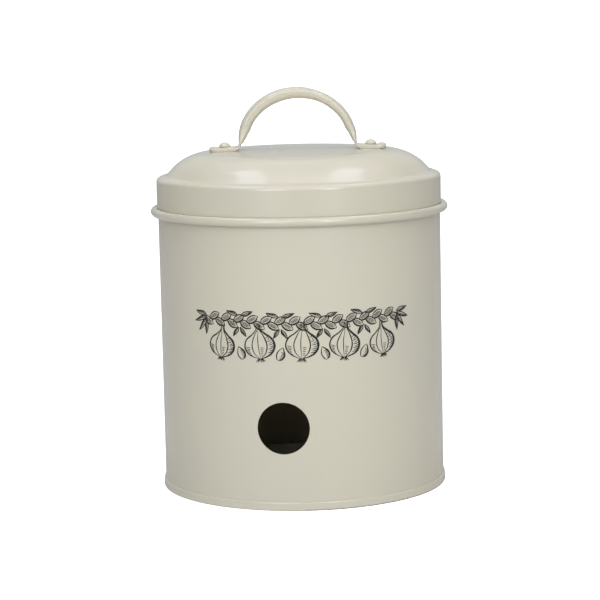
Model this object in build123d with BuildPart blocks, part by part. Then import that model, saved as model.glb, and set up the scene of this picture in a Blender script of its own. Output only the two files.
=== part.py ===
from build123d import *
from math import atan2, cos, radians, sin, sqrt, tan
import os

# Garlic keeper: a ventilated steel canister with a plug lid. Millimetres, +Z up, front towards -Y,
# origin in the middle of the ring that it stands on.

os.makedirs("parts", exist_ok=True)

# Can wall
can_radius = 60.0        # outside of the wall
can_height = 119.9       # top of the rolled rim above the table
sheet = 0.5              # steel of the can wall and the lid
roll_diameter = 3.65     # hollow roll at the mouth, outside
roll_turn = 308.0        # degrees that the edge is rolled through
lap_width = 5.0          # side seam at the back, one sheet laid over the other

# Vents, one at the front and one opposite
vent_diameter = 21.4
vent_height = 34.1       # of their centres
vent_angle = -8.0        # degrees of the front one about Z, from the front towards +X
vent_count = 2

# Base
base_sheet = 0.6
base_rise = 3.0          # clearance under the raised middle
base_flange = 3.6        # height of the ring outside the wall
base_fold = 0.65         # outer bend radius at the standing ring
base_flare = 0.25        # how much wider the ring is at its foot than at its edge
base_edge = 0.5          # rounding of the ring's upper edge

# Lid, from the rim's top upwards
lid_overhang = 0.4       # skirt outside the wall's radius
skirt_height = 12.3
ledge_width = 4.1
ledge_rise = 0.9
brow_inset = 8.08        # corner of the dome's shoulder inside the ledge's inner edge
brow_rise = 8.97
crown_rise = 1.28        # middle of the lid above the shoulder's corner
crown_radius = 20.0      # where the slight slope of the top would leave the level
plug_depth = 10.0        # neck that enters the can
plug_lead = 0.8          # how far its lower edge is turned in
lid_round = 2.0          # corner between ledge and skirt
dome_round = 22.0        # shoulder of the dome
foot_round = 1.5         # hollow where the dome meets the ledge
crown_share = 0.98       # part of the top that is one very large arc

# Handle
grip_width = 9.0
grip_thickness = 4.8
grip_sheet = 0.7         # strip that the handle is rolled from
arch_height = 26.2       # top of the handle above the foot's underside
leg_height = 4.2         # between the foot's underside and the arch's springing
neck_radius = 24.5       # middle of the leg at its bend
slit_width = 0.9         # where the strip's edges meet under the grip
neck_thickness = 1.2     # two layers pressed flat where the foot bends into the leg
foot_thickness = 1.6
foot_width = 11.0
tip_thickness = 2.1      # the end of each foot keeps some of its roll
foot_length = 13.0       # from the neck to the end
foot_corner = 3.8        # of the foot's end, seen from above
bend_radius = 0.9        # inside the bend from leg to foot
leg_swell = 0.6          # how early the leg thickens above the bend, 1 is a straight taper
arch_start = 15.0        # degrees above the springing where the grip has its full section
arch_overlap = 5.0       # degrees further up where the leg passes into the hollow grip

# Rivets
shank_diameter = 3.0
head_diameter = 5.0
head_height = 1.75
tail_diameter = 4.4
tail_height = 0.9
rivet_offset = 6.5       # from the neck of the handle
head_clear = 0.1         # between the head and the rolled tip of the foot

# Fits
seam_gap = 0.02          # between sheets that are crimped or riveted together
seat_gap = 0.25          # wall above the floor of the base's channel
lid_fit = 0.3            # radial play of the lid in the mouth
rest_gap = 0.25          # lid's fold above the roll that it rests on
paint_gap = 0.05         # under the handle's feet

# Places that follow from them
mouth_radius = can_radius - sheet
roll_radius = roll_diameter / 2
roll_axis = mouth_radius + roll_radius
roll_center = can_height - roll_radius

lid_radius = can_radius + lid_overhang
plug_radius = mouth_radius - lid_fit
fold_radius = 0.66 * (lid_radius - plug_radius)
neck_round = 0.25 * (lid_radius - plug_radius)
fold_reach = roll_radius + fold_radius + rest_gap
fold_offset = roll_axis - (lid_radius - fold_radius)
shoulder = roll_center + sqrt(fold_reach**2 - fold_offset**2) - fold_radius

ledge_outer = can_height + skirt_height
ledge_inner = ledge_outer + ledge_rise
brow_radius = lid_radius - ledge_width - brow_inset
brow_height = ledge_inner + brow_rise
crown_height = brow_height + crown_rise
crown_slope = atan2(crown_rise, brow_radius - crown_radius)
dome_slope = atan2(brow_rise, brow_inset)
dome_tangent = dome_round * tan((dome_slope - crown_slope) / 2)
crown_reach = (brow_radius - crown_radius) / cos(crown_slope) - dome_tangent
crown_tangent = crown_share * min(crown_radius, crown_reach)
crown_round = crown_tangent / tan(crown_slope / 2)

rivet_radius = neck_radius + rivet_offset


def crown_surface(radius):
    """Height of the lid's outside on the large arc of its top."""
    run = radius - (crown_radius - crown_tangent)
    return crown_height - crown_round + sqrt(crown_round**2 - run**2)


# The can: wall and rolled rim in one revolved strip
with BuildPart() as can_body:
    with BuildSketch(Plane.XZ) as wall_section:
        with BuildLine():
            foot = base_sheet + seat_gap
            outside = CenterArc((roll_axis, roll_center), roll_radius, 180, -roll_turn)
            inside = CenterArc((roll_axis, roll_center), roll_radius - sheet, 180, -roll_turn)
            Line(outside @ 1, inside @ 1)
            Polyline(outside @ 0, (mouth_radius, foot), (can_radius, foot), inside @ 0)
        make_face()
    revolve(axis=Axis.Z)

    lap_top = roll_center - roll_radius
    with BuildSketch(Plane.XY.offset(base_flange + seat_gap)) as lap:
        Circle(can_radius + sheet)
        Circle(can_radius, mode=Mode.SUBTRACT)
        with Locations((0, can_radius)):
            Rectangle(lap_width, 4 * lap_width, mode=Mode.INTERSECT)
    extrude(amount=lap_top - base_flange - seat_gap)

    for n in range(vent_count):
        turn = radians(vent_angle + 360 / vent_count * n)
        outward = Vector(sin(turn), -cos(turn), 0)
        with BuildSketch(Plane(origin=(0, 0, vent_height), z_dir=outward)) as vent:
            Circle(vent_diameter / 2)
        extrude(amount=can_radius + roll_diameter, mode=Mode.SUBTRACT)

# The base: raised disc, channel for the wall's foot, ring outside
with BuildPart() as base_pan:
    channel_inner = mouth_radius - seam_gap - base_sheet
    ring_edge = (can_radius + seam_gap + base_sheet, base_flange)
    with BuildSketch(Plane.XZ) as pan_section:
        with BuildLine():
            FilletPolyline(
                (0, base_rise),
                (channel_inner, base_rise),
                (channel_inner, 0),
                (ring_edge[0] + base_flare, 0),
                ring_edge,
                radius=base_fold,
            )
            offset(amount=base_sheet, side=Side.LEFT)
        make_face()
        fillet(pan_section.vertices().sort_by_distance(ring_edge)[0], base_edge)
    revolve(axis=Axis.Z)

# The lid: one pressed sheet from the slightly domed top to the edge of the plug
with BuildPart() as lid_shell:
    with BuildSketch(Plane.XZ) as lid_section:
        with BuildLine():
            FilletPolyline(
                (0, crown_height),
                (crown_radius, crown_height),
                (brow_radius, brow_height),
                (lid_radius - ledge_width, ledge_inner),
                (lid_radius, ledge_outer),
                (lid_radius, shoulder),
                (plug_radius, shoulder),
                (plug_radius, shoulder - plug_depth + 2 * plug_lead),
                (plug_radius - plug_lead, shoulder - plug_depth),
                radius=[crown_round, dome_round, foot_round, lid_round,
                        fold_radius, neck_round, plug_lead],
            )
            offset(amount=sheet, side=Side.RIGHT)
        make_face()
    revolve(axis=Axis.Z)
    with Locations((-rivet_radius, 0, crown_height), (rivet_radius, 0, crown_height)):
        Hole(shank_diameter / 2 + seam_gap, depth=crown_height - ledge_inner)

# The handle: two flat feet, then the rolled arch between them
neck_inside = neck_radius - neck_thickness / 2
neck_outside = neck_radius + neck_thickness / 2
foot_height = crown_surface(neck_inside) + paint_gap
foot_top = foot_height + foot_thickness
tip_step = tip_thickness - foot_thickness
leg_base = foot_top + bend_radius
spring = foot_height + leg_height
foot_end = neck_radius + foot_length
tip_start = rivet_radius + head_diameter / 2 + head_clear
arch_span = neck_outside - grip_thickness / 2
arch_rise = arch_height - leg_height - grip_thickness / 2
arch_foot = spring + arch_rise * sin(radians(arch_start))
grip_start = arch_start + arch_overlap


def leg_stations(side):
    """Plane, width and thickness of one leg's sections, upwards from its bend."""
    stations = []
    for share in (0, 0.12, 0.5):
        width = foot_width + (grip_width - foot_width) * share
        thickness = neck_thickness + (grip_thickness - neck_thickness) * share**leg_swell
        center = (side * (neck_outside - thickness / 2), 0, leg_base + share * (arch_foot - leg_base))
        stations.append((Plane(center, x_dir=(0, 1, 0), z_dir=(0, 0, 1)), width, thickness))
    for turn in (radians(arch_start), radians(grip_start)):
        center = (side * arch_span * cos(turn), 0, spring + arch_rise * sin(turn))
        along = (-side * arch_span * sin(turn), 0, arch_rise * cos(turn))
        stations.append((Plane(center, x_dir=(0, 1, 0), z_dir=along), grip_width, grip_thickness))
    return stations


with BuildPart() as lid_handle:
    with BuildSketch(Plane.XZ) as foot_side:
        with BuildLine():
            FilletPolyline(
                (neck_inside, leg_base),
                (neck_inside, foot_height),
                (foot_end, foot_height),
                (foot_end, foot_height + tip_thickness),
                (tip_start, foot_height + tip_thickness),
                (tip_start, foot_top),
                (neck_outside, foot_top),
                (neck_outside, leg_base),
                radius=[bend_radius + neck_thickness / 2, tip_step, tip_thickness / 2,
                        tip_step / 2.2, tip_step / 2.2, bend_radius / 2],
            )
            Line((neck_outside, leg_base), (neck_inside, leg_base))
        make_face()
        mirror(about=Plane.YZ)
    extrude(amount=foot_width / 2, both=True)
    with BuildSketch(Plane.XY.offset(foot_height)) as foot_plan:
        RectangleRounded(2 * foot_end, foot_width, foot_corner)
    extrude(amount=arch_height, mode=Mode.INTERSECT)

    for side in (-1, 1):
        for plane, width, thickness in leg_stations(side):
            with BuildSketch(plane):
                SlotOverall(width, thickness)
        loft()

    with BuildLine(Plane.XZ) as arch:
        EllipticalCenterArc((0, spring), arch_span, arch_rise, grip_start,
                            arc_size=180 - 2 * grip_start)
    with BuildSketch(Plane(arch.line @ 0, x_dir=(0, 1, 0), z_dir=arch.line % 0)) as grip:
        SlotOverall(grip_width, grip_thickness)
        SlotOverall(grip_width - 2 * grip_sheet, grip_thickness - 2 * grip_sheet, mode=Mode.SUBTRACT)
    sweep(path=arch.line)

    with BuildSketch(Plane.XZ) as slit:
        with Locations((0, spring)):
            Ellipse(arch_span, arch_rise)
            Ellipse(arch_span - grip_thickness, arch_rise - grip_thickness, mode=Mode.SUBTRACT)
        with Locations((0, (arch.line @ 0).Z)):
            Rectangle(2 * arch_span, 2 * arch_rise, align=(Align.CENTER, Align.MIN),
                      mode=Mode.INTERSECT)
    extrude(amount=slit_width / 2, both=True, mode=Mode.SUBTRACT)
    with Locations((-rivet_radius, 0, foot_top), (rivet_radius, 0, foot_top)):
        Hole(shank_diameter / 2 + seam_gap, depth=2 * foot_thickness)

# Rivets: dome head on the foot, shank through both sheets, flat tail under the lid
parts = {"can_body": can_body, "base_pan": base_pan, "lid_shell": lid_shell,
         "lid_handle": lid_handle}
tail_top = crown_surface(rivet_radius + tail_diameter / 2) - 1.1 * sheet - seam_gap
for name, side in (("rivet_left", -1), ("rivet_right", 1)):
    center = side * rivet_radius
    with BuildPart() as rivet:
        with BuildSketch(Plane.XZ) as rivet_section:
            with BuildLine():
                head = ThreePointArc(
                    (center, foot_top + head_height),
                    (center + 0.34 * head_diameter, foot_top + 0.72 * head_height),
                    (center + head_diameter / 2, foot_top),
                )
                Polyline(
                    head @ 1,
                    (center + shank_diameter / 2, foot_top),
                    (center + shank_diameter / 2, tail_top),
                    (center + tail_diameter / 2, tail_top),
                    (center + tail_diameter / 2, tail_top - tail_height),
                    (center, tail_top - tail_height),
                    head @ 0,
                )
            make_face()
        revolve(axis=Axis((center, 0, 0), (0, 0, 1)))
    parts[name] = rivet

for name, piece in parts.items():
    piece.part.label = name
    export_step(piece.part, f"parts/{name}.step")
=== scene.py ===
import math
import random

import bmesh
import bpy
from mathutils import Matrix, Vector


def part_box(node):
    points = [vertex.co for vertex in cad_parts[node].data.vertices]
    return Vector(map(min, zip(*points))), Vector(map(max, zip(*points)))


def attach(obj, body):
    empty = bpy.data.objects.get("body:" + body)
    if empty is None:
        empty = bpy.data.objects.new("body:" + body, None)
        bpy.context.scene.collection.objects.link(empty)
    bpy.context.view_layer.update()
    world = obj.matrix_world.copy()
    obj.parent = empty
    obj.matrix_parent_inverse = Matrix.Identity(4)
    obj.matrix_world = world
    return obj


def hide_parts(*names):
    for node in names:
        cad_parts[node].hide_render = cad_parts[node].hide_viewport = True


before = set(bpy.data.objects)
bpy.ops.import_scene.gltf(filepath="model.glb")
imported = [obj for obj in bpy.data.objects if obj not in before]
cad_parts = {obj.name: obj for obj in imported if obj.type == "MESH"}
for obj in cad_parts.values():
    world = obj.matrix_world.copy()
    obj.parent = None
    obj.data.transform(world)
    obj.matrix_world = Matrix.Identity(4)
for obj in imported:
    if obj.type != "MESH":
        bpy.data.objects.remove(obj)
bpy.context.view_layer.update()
mm = 0.001
print("frame loaded:", ", ".join(sorted(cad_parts)))


# one node socket, so that a mask or a blend can be written as a sum
class Wire:
    def __init__(self, finish, socket):
        self.finish, self.socket = finish, socket

    def calc(self, operation, first, second):
        return self.finish.node("ShaderNodeMath", {"operation": operation}, [first, second])

    def __add__(self, other):
        return self.calc("ADD", self, other)

    def __radd__(self, other):
        return self.calc("ADD", other, self)

    def __sub__(self, other):
        return self.calc("SUBTRACT", self, other)

    def __rsub__(self, other):
        return self.calc("SUBTRACT", other, self)

    def __mul__(self, other):
        return self.calc("MULTIPLY", self, other)

    def __rmul__(self, other):
        return self.calc("MULTIPLY", other, self)

    def __lt__(self, other):
        return self.calc("LESS_THAN", self, other)


# a material, a world or another node tree, and the one method that adds nodes to it
class Finish:
    def __init__(self, block):
        self.block = block
        block.use_nodes = True
        self.tree = block.node_tree
        self.tree.nodes.clear()

    def node(self, kind, settings=None, values=None, output=0):
        made = self.tree.nodes.new(kind)
        for name, value in (settings or {}).items():
            setattr(made, name, value)
        pairs = values.items() if isinstance(values, dict) else enumerate(values or [])
        for name, value in pairs:
            if isinstance(value, Wire):
                self.tree.links.new(value.socket, made.inputs[name])
            else:
                made.inputs[name].default_value = value
        return Wire(self, made.outputs[output]) if len(made.outputs) else made

    def blend(self, share, first, second, kind="MIX"):
        settings = {"data_type": "RGBA", "blend_type": kind}
        return self.node("ShaderNodeMix", settings, {0: share, 6: first, 7: second}, 2)

    def noise(self, place, scale, detail):
        return self.node("ShaderNodeTexNoise", {}, {"Vector": place, "Scale": scale, "Detail": detail})

    def ramp(self, value, low, high):
        values = {"Value": value, "From Min": low, "From Max": high}
        return self.node("ShaderNodeMapRange", {"interpolation_type": "SMOOTHSTEP"}, values)

    def bump(self, height, distance, under=None):
        values = {"Height": height, "Distance": distance}
        return self.node("ShaderNodeBump", {}, values | ({"Normal": under} if under else {}))

    def surface(self, values):
        shader = self.node("ShaderNodeBsdfPrincipled", {}, values)
        self.node("ShaderNodeOutputMaterial", {}, {"Surface": shader})


# stoved cream paint, as on every sheet of the keeper;
# each noise is its scale and detail, heights are in metres
paintSpec = dict(
    cream=(0.665, 0.630, 0.515, 1), warmCream=(0.680, 0.638, 0.510, 1), speck=(0.30, 0.26, 0.18, 1),
    roughness=0.24, roughnessSpread=0.10, coat=0.55, coatRoughness=0.03, ior=1.5,
    cloudNoise=(22, 4), cloudRange=(0.35, 0.65), grainNoise=(160, 3),
    peelNoise=(520, 2), peelHeight=0.0000045, waveNoise=(34, 1), waveHeight=0.00008,
    speckScale=95, speckSize=0.022, speckShare=0.12, speckTint=0.45)


def creamPaint():
    spec = paintSpec
    mat = Finish(bpy.data.materials.new("creamPaint"))
    place = mat.node("ShaderNodeTexCoord", output="Object")
    cloud = mat.ramp(mat.noise(place, *spec["cloudNoise"]), *spec["cloudRange"])
    cells = {"Vector": place, "Scale": spec["speckScale"]}
    middle = mat.node("ShaderNodeTexVoronoi", {}, cells)
    chance = mat.node("ShaderNodeTexVoronoi", {}, cells, 1)
    chance = mat.node("ShaderNodeSeparateColor", {}, [chance])
    specks = (middle < spec["speckSize"]) * (chance < spec["speckShare"])
    colour = mat.blend(cloud, spec["cream"], spec["warmCream"])
    colour = mat.blend(specks * spec["speckTint"], colour, spec["speck"])
    grain = mat.noise(place, *spec["grainNoise"]) - 0.5
    peel = mat.bump(mat.noise(place, *spec["peelNoise"]), spec["peelHeight"])
    wave = mat.bump(mat.noise(place, *spec["waveNoise"]), spec["waveHeight"], peel)
    mat.surface({
        "Base Color": colour, "Roughness": spec["roughness"] + grain * spec["roughnessSpread"],
        "IOR": spec["ior"], "Coat Weight": spec["coat"], "Coat Roughness": spec["coatRoughness"],
        "Normal": wave})
    return mat.block


# screen-printed black, a little thin in places
inkSpec = dict(
    ink=(0.010, 0.009, 0.008, 1), thin=(0.060, 0.054, 0.044, 1), roughness=0.34, roughnessSpread=0.2,
    thinNoise=(700, 3), thinRange=(0.52, 0.72), grainNoise=(1500, 2))


def blackInk():
    spec = inkSpec
    mat = Finish(bpy.data.materials.new("blackInk"))
    place = mat.node("ShaderNodeTexCoord", output="Object")
    thin = mat.ramp(mat.noise(place, *spec["thinNoise"]), *spec["thinRange"])
    grain = mat.noise(place, *spec["grainNoise"]) - 0.5
    mat.surface({
        "Base Color": mat.blend(thin, spec["ink"], spec["thin"]),
        "Roughness": spec["roughness"] + grain * spec["roughnessSpread"]})
    return mat.block


paint = creamPaint()
ink = blackInk()
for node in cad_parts.values():
    for materialSlot in node.material_slots:
        materialSlot.material = paint
print("paint on", len(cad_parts), "nodes")


creaseAngle = 50    # degrees: sharper edges than this stay crisp


def meshPiece(name, points, faces, material, body):
    mesh = bpy.data.meshes.new(name)
    mesh.from_pydata([Vector(point) * mm for point in points], [], faces)
    work = bmesh.new()
    work.from_mesh(mesh)
    bmesh.ops.recalc_face_normals(work, faces=work.faces)
    work.to_mesh(mesh)
    work.free()
    mesh.materials.append(material)
    for face in mesh.polygons:
        face.use_smooth = True
    mesh.set_sharp_from_angle(angle=math.radians(creaseAngle))
    piece = bpy.data.objects.new(name, mesh)
    bpy.context.scene.collection.objects.link(piece)
    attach(piece, body)
    return piece


def smooth(value):
    value = min(1, max(0, value))
    return value * value * (3 - 2 * value)


# lid: the section of the CAD lid, turned round the axis in finer steps (mm);
# a point of the section is kept after a turn of keepTurn degrees or a step of keepStep,
# and between dropFoot and dropTop the foot of the skirt and its fold come down onto the can's roll
lidSpec = dict(
    side=-50, weld=0.002, onAxis=0.01, keepTurn=0.8, keepStep=1.5, steps=200,
    restDrop=0.19, dropTop=124.0, topFade=3.0, dropFoot=113.0, footFade=4.0)


# radius and height along the sheet, from the axis on top to the axis below,
# at a side that is clear of the rivets
def lidSection():
    spec = lidSpec
    side = math.radians(spec["side"])
    out = Vector((math.sin(side), -math.cos(side), 0))
    across = Vector((out.y, -out.x, 0))
    weld = spec["weld"] * mm
    work = bmesh.new()
    work.from_mesh(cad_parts["lid_shell"].data)
    parts = work.verts[:] + work.edges[:] + work.faces[:]
    bmesh.ops.bisect_plane(work, geom=parts, plane_co=(0, 0, 0), plane_no=across,
                           clear_inner=True, clear_outer=True)
    bmesh.ops.remove_doubles(work, verts=work.verts[:], dist=weld)
    here = max((v for v in work.verts if v.co.xy.length < spec["onAxis"] * mm), key=lambda v: v.co.z)
    line, seen = [], set()
    while here:
        seen.add(here)
        line.append(Vector((here.co.dot(out), here.co.z)) / mm)
        steps = [edge.other_vert(here) for edge in here.link_edges]
        here = next((v for v in steps if v not in seen and v.co.dot(out) > -weld / 2), None)
    work.free()
    return line


def lidDrop(z):
    spec = lidSpec
    below = smooth((spec["dropTop"] - z) / spec["topFade"])
    above = smooth((z - spec["dropFoot"]) / spec["footFade"])
    return spec["restDrop"] * below * above


def lid():
    spec = lidSpec
    line = lidSection()
    kept = [line[0]]
    for here, after in zip(line[1:], line[2:]):
        step = here - kept[-1]
        turn = math.degrees(step.angle(after - here, 0))
        if turn > spec["keepTurn"] or step.length > spec["keepStep"]:
            kept.append(here)
    kept.append(line[-1])
    kept[0].x = kept[-1].x = 0
    points, faces, rings = [], [], []
    for r, z in kept:
        count = spec["steps"] if r else 1
        turns = [math.tau * n / count for n in range(count)]
        rings.append(range(len(points), len(points) + count))
        points.extend((r * math.sin(turn), -r * math.cos(turn), z - lidDrop(z)) for turn in turns)
    for near, far in zip(rings, rings[1:]):
        for n in range(spec["steps"]):
            after = (n + 1) % spec["steps"]
            corners = [near[n % len(near)], far[n % len(far)], far[after % len(far)], near[after % len(near)]]
            faces.append(tuple(dict.fromkeys(corners)))    # a triangle at the axis
    piece = meshPiece("lid", points, faces, paint, "lid")
    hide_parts("lid_shell")


lid()
print("lid made")


# handle: one strip rolled to a tube, bent to an arch and pressed flat at both feet (mm)
handleSpec = dict(
    gripWidth=9.0, gripThickness=4.8, edgePower=2.7,
    archStart=15, archPower=1.95, shoulderThickness=4.33, unevenLegs=0.09, unevenReach=10,
    neckInset=13.0, legHeight=4.2, legSwell=0.62, legLean=3,
    flatThickness=1.2, bendRadius=1.6, bendSwell=1.6,
    footThickness=1.75, footEdge=1.3, edgeMost=0.6, footArch=0.7, footCorner=3.8,
    lidRound=840.0, contact=0.09,
    tipThickness=2.1, tipLength=3.6, tipRise=1.6, tipEdge=0.55, tipRound=0.9, tipLift=(0.24, 0.0),
    mouthDepth=1.5, mouthWall=0.4,
    seamWidth=0.84, seamRound=0.30, seamDepth=0.85, depthMost=0.4, flatSeam=0.3,
    seamLip=((0.2, 0.12), (0, 0.4), (0, 1)),    # shares of the round outwards and of the depth
    around=44, footRows=26, bendRows=9, legRows=14, archRows=24)


# rows from the right foot's end to the left one's:
# x and z of the middle, width, thickness, seam opening, share of the pressed section
def handleRows():
    spec = handleSpec
    low, high = (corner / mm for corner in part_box("lid_handle"))
    flat, full, closed = spec["flatThickness"], spec["gripThickness"], spec["flatSeam"]
    pressed, shoulder = spec["footThickness"], spec["shoulderThickness"]
    footEnd, footWidth = high.x, 2 * high.y
    outside = footEnd - spec["neckInset"] + flat / 2
    bend = spec["bendRadius"] + flat / 2
    turnX, turnZ = outside + spec["bendRadius"], low.z + flat + spec["bendRadius"]
    spring = low.z + spec["legHeight"]
    span, rise = outside - shoulder / 2, high.z - spring - full / 2
    start = math.radians(spec["archStart"])

    def arch(angle, side):
        power = 2 / spec["archPower"]
        thick = shoulder + (full - shoulder) * (angle - start) / (math.pi / 2 - start)
        x = math.cos(angle) ** power * span
        uneven = 1 - side * spec["unevenLegs"] * smooth(x / spec["unevenReach"])
        return (side * x, spring + rise * math.sin(angle) ** power, spec["gripWidth"], thick * uneven, 1, 0)

    def half(side):
        rows = []
        for n in range(spec["footRows"] + 1):
            share = 1 - math.cos(math.pi / 2 * n / spec["footRows"])
            back = (footEnd - turnX) * share
            inset = max(0, spec["footCorner"] - back)
            corner = spec["footCorner"] - math.sqrt(max(0, spec["footCorner"] ** 2 - inset ** 2))
            bulge = smooth((spec["tipLength"] - back) / spec["tipRise"])
            rounded = spec["tipEdge"] + (1 - spec["tipEdge"]) * smooth(back / spec["tipRound"])
            thick = (pressed + (spec["tipThickness"] - pressed) * bulge) * rounded
            reach = footEnd - back
            drop = (reach ** 2 - turnX ** 2) / 2 / spec["lidRound"]    # the lid's slight dome
            under = low.z - spec["contact"] - drop + spec["tipLift"][0 if side > 0 else 1] * bulge
            rows.append((side * reach, under + thick / 2, footWidth - 2 * corner, thick, closed, 1))
        for n in range(1, spec["bendRows"] + 1):
            share = n / spec["bendRows"]
            angle = math.radians(270 - 90 * share)
            thick = pressed + (flat - pressed) * smooth(spec["bendSwell"] * share)
            x = turnX + bend * math.cos(angle)
            z = turnZ + bend * math.sin(angle) + (thick - flat) / 2
            rows.append((side * x, z, footWidth, thick, closed, 1 - smooth(share)))
        foot = arch(start, side)
        for n in range(1, spec["legRows"] + 1):
            share = n / spec["legRows"]
            thick = flat + (foot[3] - flat) * share ** spec["legSwell"]
            width = footWidth + (spec["gripWidth"] - footWidth) * smooth(share)
            inward = (outside - foot[3] / 2 - abs(foot[0])) * share ** spec["legLean"]
            x, z = outside - thick / 2 - inward, turnZ + share * (foot[1] - turnZ)
            rows.append((side * x, z, width, thick, closed + (1 - closed) * smooth(share), 0))
        for n in range(1, spec["archRows"] + 1):
            rows.append(arch(start + (math.pi / 2 - start) * n / spec["archRows"], side))
        return rows

    return half(1) + half(-1)[-2::-1]


# one ring round the tube: a flattened oval with the seam's groove on the underside,
# or flat below and arched above where it is pressed onto the lid
def tubeRing(width, thick, opening, pressed):
    spec = handleSpec
    half, power = thick / 2, 2 / spec["edgePower"]
    lip = spec["seamWidth"] / 2 * opening
    depth = min(spec["seamDepth"], spec["depthMost"] * thick) * opening
    edge = lip + spec["seamRound"] * opening
    rim = min(spec["footEdge"], spec["edgeMost"] * thick)
    ring = []
    for n in range(spec["around"]):
        angle = math.tau * (n + 0.5) / spec["around"] - math.pi / 2
        across = width / 2 * math.copysign(abs(math.cos(angle)) ** power, math.cos(angle))
        up = half * math.copysign(abs(math.sin(angle)) ** power, math.sin(angle))
        share = 1 - (2 * across / width) ** 2
        plate = -half if up < 0 else rim - half + (thick - rim) * share ** spec["footArch"]
        up += (plate - up) * pressed
        if up < 0 and abs(across) < edge:
            across = math.copysign(edge, across)
        ring.append((across, up))
    left = [(-lip - outwards * (edge - lip), down * depth - half) for outwards, down in spec["seamLip"]]
    return ring + left + [(-across, up) for across, up in reversed(left)]


def handle():
    spec = handleSpec
    rows = handleRows()
    points, faces = [], []
    rings = []

    def addRing(row, along, wall=0.0, shift=0.0):
        x, z, width, thick, opening, pressed = row
        out = Vector((along.z, 0, -along.x))
        middle = Vector((x, 0, z)) + along * shift
        section = tubeRing(width, thick, opening, pressed)
        narrower, thinner = 1 - 2 * wall / width, 1 - 2 * wall / thick
        first = len(points)
        for across, up in section:
            points.append(middle + Vector((0, across * narrower, 0)) + out * up * thinner)
        rings.append(range(first, len(points)))

    def direction(n):
        before, after = rows[max(0, n - 1)], rows[min(len(rows) - 1, n + 1)]
        return Vector((after[0] - before[0], 0, after[1] - before[1])).normalized()

    start, end = direction(0), direction(len(rows) - 1)
    addRing(rows[0], start, spec["mouthWall"], spec["mouthDepth"])    # inside of the open end
    addRing(rows[0], start, spec["mouthWall"])
    for n, row in enumerate(rows):
        addRing(row, direction(n))
    addRing(rows[-1], end, spec["mouthWall"])
    addRing(rows[-1], end, spec["mouthWall"], -spec["mouthDepth"])
    for near, far in zip(rings, rings[1:]):
        for k in range(len(near)):
            after = (k + 1) % len(near)
            faces.append((near[k], far[k], far[after], near[after]))
    faces.append(tuple(rings[0]))
    faces.append(tuple(rings[-1]))
    piece = meshPiece("handle", points, faces, paint, "lid")
    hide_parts("lid_handle")


handle()
print("handle made")


# printed frieze: a plait hung with garlic bulbs, s along the wall and z up (mm)
friezeSpec = dict(
    wallFoot=3.0, reach=41.5, plaitHeight=78.6, sag=1.5, plaitShare=0.985,
    lobes=29, lobeLength=5.6, lobeWidth=1.25, lobeTilt=30, lobeOffset=1.15,
    # place, size and lean of each bulb
    bulbs=((-34.5, 5.9, 5), (-17.5, 6.3, -4), (0, 6.6, 2), (17.5, 6.3, 4), (34.5, 5.9, -5)),
    rootHeight=61.3, rootReach=1.12, roots=7,
    # number of shading strokes, the highest and the step down, in sizes of the bulb or clove
    rightShade=(11, 0.52, 0.12), leftShade=(6, -0.10, 0.10), middleShade=(5, -0.18, 0.12),
    cloveHeight=64.6, cloveSize=3.0, cloveLean=22, cloveAside=0.25, cloveShade=(6, 0.40, 0.19),
    # along, up, length, width, tilt, lean and bend of the leaves above and below each gap
    leafPairs=((0.5, 2.3, 5.6, 0.75, 90, -62, -0.9), (0.3, -2.4, 4.6, 0.6, -90, 26, 0.6)),
    endLeaves=dict(count=4, out=1.01, top=0.9, step=0.6, length=7.4, shorter=0.9, width=0.75,
                   lean=66, fan=33, bend=-1.1),
    line=0.58, hatch=0.28, wobble=0.06, seed=11,
    # width at both ends of a stroke, as a share of its middle
    ends=dict(pen=(0.35, 0.35), shade=(0.35, 0.2), deepShade=(0.9, 0.2), root=(0.35, 0.4)),
    steps=6, taper=0.35, edgeSpread=0.12, inkHeight=0.035, inkDepth=0.06)


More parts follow.
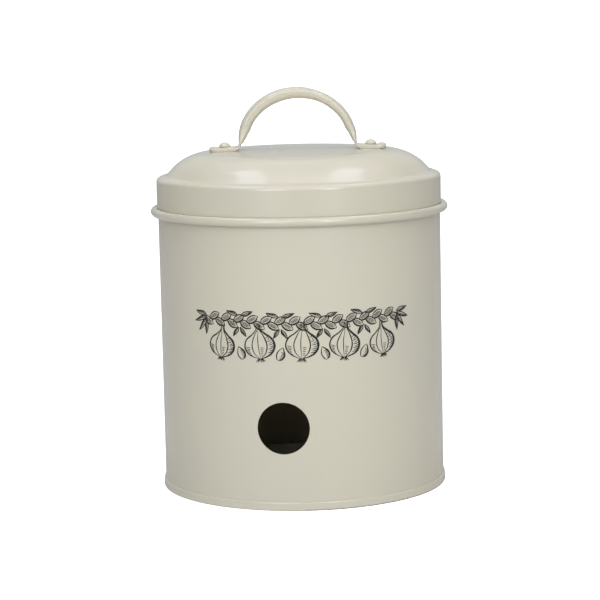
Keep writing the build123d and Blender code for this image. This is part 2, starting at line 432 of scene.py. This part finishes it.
class Frieze:
    def __init__(self, wall):
        self.spec = friezeSpec
        self.chance = random.Random(self.spec["seed"])
        self.wall = wall
        self.points, self.faces = [], []

    def curve(self, points):
        ends = [points[0], *points, points[-1]]
        line = []
        for a, b, c, d in zip(ends, ends[1:], ends[2:], ends[3:]):
            for n in range(self.spec["steps"]):
                t = n / self.spec["steps"]
                line.append([
                    0.5 * (2 * q + (r - p) * t + (2 * p - 5 * q + 4 * r - s) * t ** 2
                           + (3 * q - p - 3 * r + s) * t ** 3)
                    for p, q, r, s in zip(a, b, c, d)])
        return line + [points[-1]]

    # a pen stroke as a thin closed strip, let into the wall by inkDepth
    def stroke(self, points, width, kind):
        spec, line = self.spec, self.curve(points)
        start, end = spec["ends"][kind]
        high, low = spec["inkHeight"], -spec["inkDepth"]
        last = len(line) - 1
        first = len(self.points)
        for n, (s, z) in enumerate(line):
            (s0, z0), (s1, z1) = line[max(0, n - 1)], line[min(last, n + 1)]
            length = math.hypot(s1 - s0, z1 - z0) or 1
            swell = min(1, start + (1 - start) * n / last / spec["taper"],
                        end + (1 - end) * (1 - n / last) / spec["taper"])
            half = width / 2 * swell * (1 + self.chance.uniform(-1, 1) * spec["edgeSpread"])
            ds, dz = (z0 - z1) / length * half, (s1 - s0) / length * half
            for side, lift in ((1, high), (-1, high), (-1, low), (1, low)):
                angle, radius = (s + side * ds) / self.wall, self.wall + lift
                self.points.append((radius * math.sin(angle), -radius * math.cos(angle), z + side * dz))
        for n in range(last):
            for k in range(4):
                a, b = first + 4 * n + k, first + 4 * n + (k + 1) % 4
                self.faces.append((a, b, b + 4, a + 4))
        self.faces.append(tuple(range(first, first + 4)))
        self.faces.append(tuple(range(len(self.points) - 4, len(self.points))))

    # a stroke given in sizes of its motif, leaned over and a little shaky
    def draw(self, points, middle, size, lean, width, kind="pen"):
        c, s = math.cos(math.radians(lean)), math.sin(math.radians(lean))
        shake, spread = self.chance.uniform, self.spec["wobble"]
        placed = [(middle[0] + size * (u * c + v * s) + shake(-spread, spread),
                   middle[1] + size * (v * c - u * s) + shake(-spread, spread)) for u, v in points]
        self.stroke(placed, width, kind)

    def plaitLine(self, s):
        return self.spec["plaitHeight"] - self.spec["sag"] * math.cos(math.pi * s / 2 / self.spec["reach"])

    def lobe(self, middle, tilt):
        spec = self.spec
        half, wide = spec["lobeLength"] / 2, spec["lobeWidth"]
        for side, weight in ((-1, 1.25), (1, 0.85)):
            edge = [(-half, 0), (-0.45 * half, 0.9 * side * wide), (0.35 * half, side * wide), (half, 0)]
            self.draw(edge, middle, 1, -tilt, weight * spec["line"])
        for v in (-0.5, 0, 0.5):
            inner = [(-0.72 * half, 0.45 * v * wide), (0, 0.8 * v * wide), (0.62 * half, 0.5 * v * wide)]
            self.draw(inner, middle, 1, -tilt, spec["hatch"])

    # u across and v up, in sizes of the bulb
    def bulb(self, middle, size, lean):
        spec = self.spec
        line, hatch = spec["line"], spec["hatch"]
        place = (middle, size, lean)
        side = [(0.10, 1.42), (0.15, 1.00), (0.42, 0.70), (0.86, 0.34), (1.0, -0.12), (0.80, -0.55),
                (0.40, -0.80), (0.08, -0.88)]
        clove = [(0.05, 1.02), (0.30, 0.58), (0.50, 0.0), (0.40, -0.52), (0.08, -0.86)]
        for outline, left, right in ((side, 1.0, 1.55), (clove, 0.75, 0.9)):
            self.draw([(-u, v) for u, v in outline], *place, left * line)
            self.draw(outline, *place, right * line)
        self.draw([(-0.02, 0.86), (-0.09, 0.30), (-0.07, -0.35), (0.0, -0.84)], *place, 0.6 * line)

        def rim(v):
            if v >= 0:
                return 0.96 - 0.75 * v ** 1.15
            return 0.97 * math.sqrt(max(0.05, 1 - ((v + 0.12) / 0.80) ** 2))

        rows, top, step = spec["rightShade"]
        for n in range(rows):    # shade on the right clove
            v = top - step * n
            inner = 0.60 - 0.30 * abs(v + 0.05) + 0.10 * (n % 2)
            shade = [(rim(v) - 0.03, v), ((rim(v) + inner) / 2, v - 0.07), (inner, v - 0.10)]
            self.draw(shade, *place, 1.15 * hatch, "deepShade")
        rows, top, step = spec["leftShade"]
        for n in range(rows):    # under the left clove
            v = top - step * n
            shade = [(0.04 - rim(v), v), (0.22 - rim(v), v - 0.06), (0.36 - 0.03 * n - rim(v), v - 0.08)]
            self.draw(shade, *place, hatch, "shade")
        rows, top, step = spec["middleShade"]
        for n in range(rows):    # and in the middle
            v = top - step * n
            self.draw([(0.03, v), (0.15, v - 0.03), (0.30 - 0.03 * n, v - 0.02)], *place, hatch, "shade")
        for n in range(spec["roots"]):
            u = 2 * n / (spec["roots"] - 1) - 1
            tip = 0.30 * u + self.chance.uniform(-0.03, 0.03)
            root = [(0.10 * u, -0.87), (0.20 * u, -0.98), (tip, -1.10 - 0.05 * (n % 2))]
            self.draw(root, *place, 1.3 * hatch, "root")
        for u in (-0.035, 0.05):    # neck
            self.draw([(u, 1.40), (1.2 * u, 1.10), (2.6 * u, 0.80)], *place, hatch)

    def clove(self, middle, size, lean):
        spec, place = self.spec, (middle, size, lean)
        left = [(0.05, 1.0), (-0.30, 0.45), (-0.42, -0.15), (-0.20, -0.75), (0.0, -0.85)]
        right = [(0.05, 1.0), (0.42, 0.50), (0.62, -0.10), (0.42, -0.65), (0.0, -0.85)]
        self.draw(left, *place, 0.8 * spec["line"])
        self.draw(right, *place, 1.3 * spec["line"])
        rows, top, step = spec["cloveShade"]
        for n in range(rows):
            v = top - step * n
            rim = 0.55 - 0.35 * (v + 0.1) ** 2
            shade = [(rim, v), (rim - 0.2, v - 0.06), (rim - 0.42, v - 0.06)]
            self.draw(shade, *place, spec["hatch"], "shade")

    def leaf(self, base, length, width, tilt, bend):
        line, hatch, place = self.spec["line"], self.spec["hatch"], (base, 1, -tilt)
        for side, near, weight in ((1, 0.7, 0.8), (-1, 0.6, 1.2)):
            edge = [(0, 0), (0.35 * length, side * width + 0.35 * bend),
                    (0.7 * length, near * side * width + 0.8 * bend), (length, bend)]
            self.draw(edge, *place, weight * line)
        rib = [(0.08 * length, 0), (0.5 * length, 0.55 * bend), (0.9 * length, 0.95 * bend)]
        self.draw(rib, *place, hatch)
        for k in (0.3, 0.45, 0.6, 0.75):    # veins
            low = -0.55 * width * (1 - 0.4 * k) + bend * (k + 0.1)
            self.draw([(k * length, 0.9 * k * bend), ((k + 0.1) * length, low)], *place, hatch)

    def plait(self):
        spec = self.spec
        for n in range(spec["lobes"]):
            s = spec["plaitShare"] * spec["reach"] * (2 * n / (spec["lobes"] - 1) - 1)
            side = 1 if n % 2 else -1
            slope = math.degrees(math.atan2(self.plaitLine(s + 1) - self.plaitLine(s - 1), 2))
            self.lobe((s, self.plaitLine(s) + side * spec["lobeOffset"]), slope + side * spec["lobeTilt"])

    def fill(self):
        spec = self.spec
        self.plait()
        for s, size, lean in spec["bulbs"]:
            self.bulb((s, spec["rootHeight"] + spec["rootReach"] * size), size, lean)
        for n, (here, there) in enumerate(zip(spec["bulbs"], spec["bulbs"][1:])):
            s, turn = (here[0] + there[0]) / 2, 1 if n % 2 else -1
            clovePlace = (s - turn * spec["cloveAside"], spec["cloveHeight"])
            self.clove(clovePlace, spec["cloveSize"], turn * spec["cloveLean"])
            for side in (-1, 1):
                for along, up, length, width, tilt, lean, bend in spec["leafPairs"]:
                    base = (s + side * along, self.plaitLine(s) + up)
                    self.leaf(base, length, width, tilt + side * lean, side * bend)
        ends = spec["endLeaves"]
        for side in (-1, 1):    # loose ends of the plait
            for n in range(ends["count"]):
                base = (side * ends["out"] * spec["reach"],
                        self.plaitLine(spec["reach"]) + ends["top"] - ends["step"] * n)
                length = ends["length"] - ends["shorter"] * abs(n - (ends["count"] - 1) / 2)
                tilt = 90 - side * (ends["lean"] + ends["fan"] * n)
                self.leaf(base, length, ends["width"], tilt, side * ends["bend"])


def frieze():
    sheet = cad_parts["can_body"].data
    foot = [v.co for v in sheet.vertices if v.co.z < friezeSpec["wallFoot"] * mm]    # below seam and rim
    wall = max(co.xy.length for co in foot) / mm
    art = Frieze(wall)
    art.fill()
    meshPiece("frieze", art.points, art.faces, ink, "can")


frieze()
print("frieze printed")


everyWay = (-2.0, -1.0)    # a ramp that is full in every direction

# plain floor and studio; the floor and sky look white and light the keeper a dull grey,
# with a soft glow behind, a warmer one high behind and one overhead
studioSpec = dict(
    floorHalf=6.0, floorRoughness=0.9, floorSeen=(0.93, 0.93, 0.93, 1), floorGrey=(0.65, 0.65, 0.65, 1),
    floorGlow=(0.86, 0.86, 0.86, 1), floorDark=(0, 0, 0, 1),
    sky=(0.004, 0.006, 0.006, 1), skyStrength=1.1,
    glows=[
        # reach to the back, rise, colour
        ((0.3, 0.9), everyWay, (0.422, 0.445, 0.452, 1)),
        ((-0.5, 0.4), (0.05, 0.36), (0.182, 0.163, 0.111, 1)),
        (everyWay, (0.55, 0.80), (0.470, 0.485, 0.495, 1)),
    ],
    lamps=[
        # name, place, aim, size, watts, tint
        ("boxLeft", (-0.46, 0.035, 1.20), (-0.46, 0.035, 0), (0.29, 0.62), 1.50, (0.755, 0.808, 1)),
        ("boxRight", (0.46, 0.05, 1.20), (0.46, 0.05, 0), (0.30, 0.60), 1.50, (0.755, 0.808, 1)),
        ("sideLeft", (-0.95, -1.80, 0.80), (0, 0, 0.09), (0.48, 1.1), 4.6, (0.86, 0.92, 1)),
        ("sideRight", (0.90, -1.85, 0.80), (0, 0, 0.09), (0.57, 1.1), 5.0, (0.86, 0.92, 1)),
        ("lowLeft", (-0.75, -2.08, 0.80), (0, 0, 0.09), (0.60, 1.3), 6.4, (0.94, 1, 0.985)),
        ("lowRight", (0.91, -2.02, 0.80), (0, 0, 0.09), (0.60, 1.3), 6.7, (0.94, 1, 0.985)),
        ("midLeft", (-0.897, -1.618, 1.25), (0, 0, 0.09), (0.48, 1.1), 2.4, (0.90, 0.90, 1)),
        ("midRight", (0.811, -1.663, 1.25), (0, 0, 0.09), (0.57, 1.1), 2.4, (0.90, 0.90, 1)),
        ("frontMiddle", (0.08, -1.85, 1.25), (0, 0, 0.09), (1.4, 1.1), 7.9, (1, 0.935, 0.85)),
        ("frontHigh", (0.08, -0.85, 2.15), (0, 0, 0.09), (1.4, 1.3), 5.0, (1, 0.83, 1)),
    ])


def floor():
    spec = studioSpec
    half = spec["floorHalf"]
    mesh = bpy.data.meshes.new("floor")
    corners = [(-half, -half, 0), (half, -half, 0), (half, half, 0), (-half, half, 0)]
    mesh.from_pydata(corners, [], [(0, 1, 2, 3)])
    slab = bpy.data.objects.new("floor", mesh)
    bpy.context.scene.collection.objects.link(slab)
    mat = Finish(bpy.data.materials.new("paleFloor"))
    seen = mat.node("ShaderNodeLightPath", output="Is Camera Ray")
    mat.surface({
        "Base Color": mat.blend(seen, spec["floorGrey"], spec["floorSeen"]),
        "Emission Color": mat.blend(seen, spec["floorDark"], spec["floorGlow"]), "Emission Strength": 1.0,
        "Roughness": spec["floorRoughness"], "Specular IOR Level": 0.0})
    mesh.materials.append(mat.block)


def studio():
    spec = studioSpec
    scene = bpy.context.scene
    scene.world = bpy.data.worlds.new("studio")
    sky = Finish(scene.world)
    seen = sky.node("ShaderNodeLightPath", output="Is Camera Ray")
    way = [sky.node("ShaderNodeTexCoord", output="Generated")]
    back, up = (sky.node("ShaderNodeSeparateXYZ", {}, way, axis) for axis in (1, 2))
    glow = spec["sky"]
    for reach, rise, colour in spec["glows"]:
        share = sky.ramp(back, *reach) * sky.ramp(up, *rise)
        glow = sky.blend(share, glow, colour, "ADD")
    shader = sky.node("ShaderNodeBackground", {}, {
        "Color": sky.blend(seen, glow, (1, 1, 1, 1)), "Strength": spec["skyStrength"]})
    sky.node("ShaderNodeOutputWorld", {}, {"Surface": shader})
    for name, place, aim, size, watts, tint in spec["lamps"]:
        light = bpy.data.lights.new(name, "AREA")
        light.shape = "RECTANGLE"
        light.size, light.size_y = size
        light.energy = watts
        light.color = tint
        lamp = bpy.data.objects.new(name, light)
        lamp.location = place
        lamp.rotation_euler = (Vector(aim) - lamp.location).to_track_quat("-Z", "Y").to_euler()
        lamp.visible_camera = False
        scene.collection.objects.link(lamp)
    scene.view_settings.view_transform = "Standard"
    scene.view_settings.look = "None"


cameraSpec = dict(place=(-0.000477, -0.932581, 0.210055), tilt=81.95, roll=-1.26, lens=131.79, sensor=36)


def camera():
    spec = cameraSpec
    data = bpy.data.cameras.new("camera")
    data.lens, data.sensor_width = spec["lens"], spec["sensor"]
    eye = bpy.data.objects.new("camera", data)
    tilt = Matrix.Rotation(math.radians(spec["tilt"]), 4, "X")
    roll = Matrix.Rotation(math.radians(spec["roll"]), 4, "Z")
    eye.matrix_world = Matrix.Translation(Vector(spec["place"])) @ tilt @ roll
    bpy.context.scene.collection.objects.link(eye)
    bpy.context.scene.camera = eye


floor()
studio()
camera()
print("studio and camera set")
